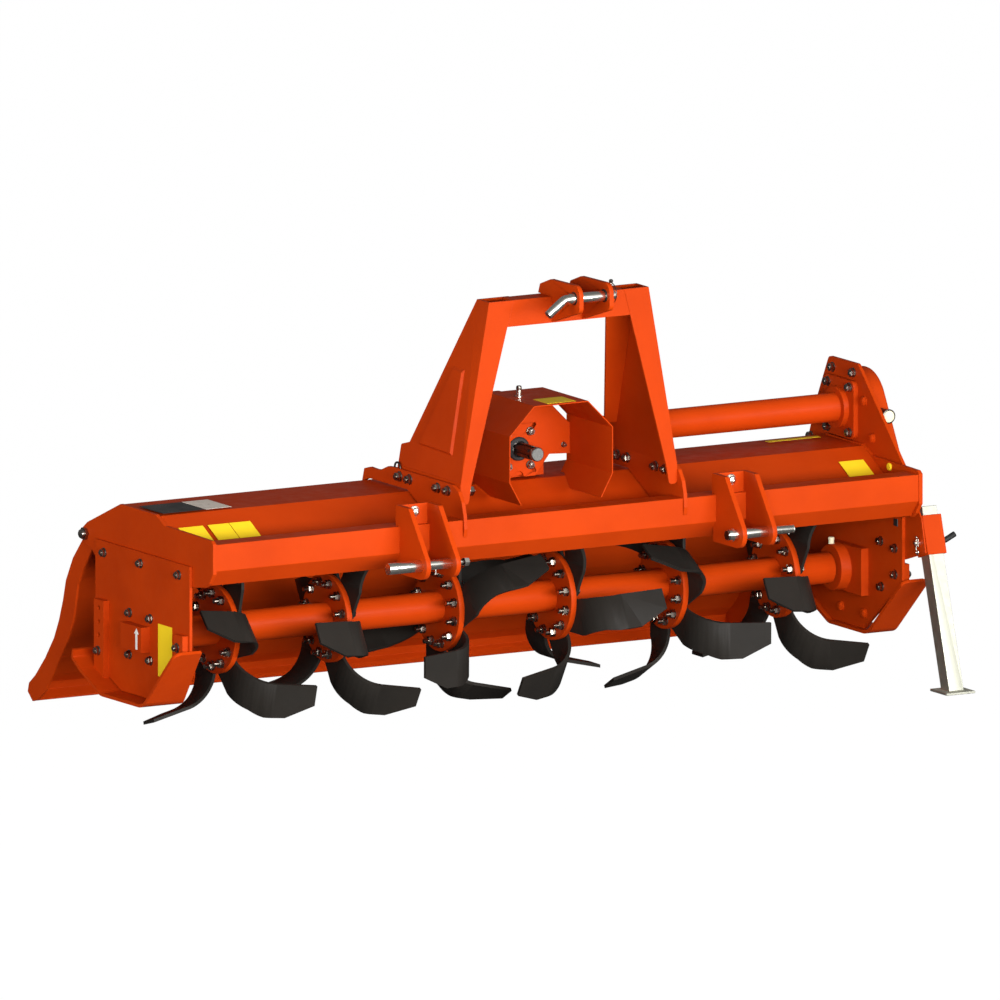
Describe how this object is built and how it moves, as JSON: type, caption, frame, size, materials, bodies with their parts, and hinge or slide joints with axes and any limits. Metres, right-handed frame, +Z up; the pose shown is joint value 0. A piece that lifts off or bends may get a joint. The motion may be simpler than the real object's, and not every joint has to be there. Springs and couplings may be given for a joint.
{
  "type": "three-point-hitch rotary tiller",
  "caption": "Tractor-mounted rotary tiller with side drive, bladed rotor under a folded hood, hinged rear board, depth skids, hitch frame and parking stand.",
  "frame": {"origin": "on the ground below the middle of the machine's box; X = 0 is the hitch centre plane", "axes": "+X across the machine towards the side drive, +Y to the rear, away from the tractor, +Z up"},
  "size_m": [2.1413, 1.0466, 1.0854],
  "materials": {
    "orange_paint": "semi-gloss",
    "blade_steel": "satin",
    "zinc_plate": "satin"
  },
  "bodies": {
    "root": {"cross_tube": "orange_paint", "drive_case": "orange_paint", "front_beam": "orange_paint", "gearbox": "orange_paint", "headstock_crossbar": "orange_paint", "headstock_left_leg": "orange_paint", "headstock_right_leg": "orange_paint", "hinge_bolts": "zinc_plate", "hood_deck": "orange_paint", "left_base_plate": "orange_paint", "left_bearing": "orange_paint", "left_bearing_plate": "orange_paint", "left_end_plate": "orange_paint", "left_hitch_bracket": "orange_paint", "left_hitch_pin": "zinc_plate", "left_skid": "orange_paint", "pto_shield": "orange_paint", "right_base_plate": "orange_paint", "right_bearing": "orange_paint", "right_drive_plate": "orange_paint", "right_end_plate": "orange_paint", "right_hitch_bracket": "orange_paint", "right_hitch_pin": "zinc_plate", "right_skid": "orange_paint", "stand_bracket": "orange_paint", "stand_pin": "zinc_plate", "stand_sleeve": "orange_paint", "top_link_ears": "orange_paint", "top_link_pin": "zinc_plate"},
    "rotor": {"blade_set_1": "blade_steel", "blade_set_2": "blade_steel", "blade_set_3": "blade_steel", "blade_set_4": "blade_steel", "blade_set_5": "blade_steel", "blade_set_6": "blade_steel", "rotor_flanges": "orange_paint", "rotor_tube": "orange_paint"},
    "input_shaft": {"pto_shaft": "zinc_plate"},
    "rear_board": {"board_sheet": "orange_paint", "left_board_cheek": "orange_paint", "right_board_cheek": "orange_paint"},
    "stand": {"stand_leg": "zinc_plate"}
  },
  "joints": [
    {"name": "rotor_spin", "type": "hinge", "parent": "root", "child": "rotor", "pos_m": [0, -0.032, 0.245], "axis": [1, 0, 0], "continuous": true},
    {"name": "input_spin", "type": "hinge", "parent": "root", "child": "input_shaft", "pos_m": [0, -0.216, 0.629], "axis": [0, -1, 0], "continuous": true},
    {"name": "rear_board_lift", "type": "hinge", "parent": "root", "child": "rear_board", "pos_m": [0, 0.218, 0.459], "axis": [1, 0, 0], "range_deg": [0, 55]},
    {"name": "stand_slide", "type": "slide", "parent": "root", "child": "stand", "axis": [0, 0.2924, 0.9563], "range_m": [0, 0.24]}
  ],
  "couplings": [
    {"joint": "input_spin", "follows": "rotor_spin", "ratio": 2.5}
  ]
}
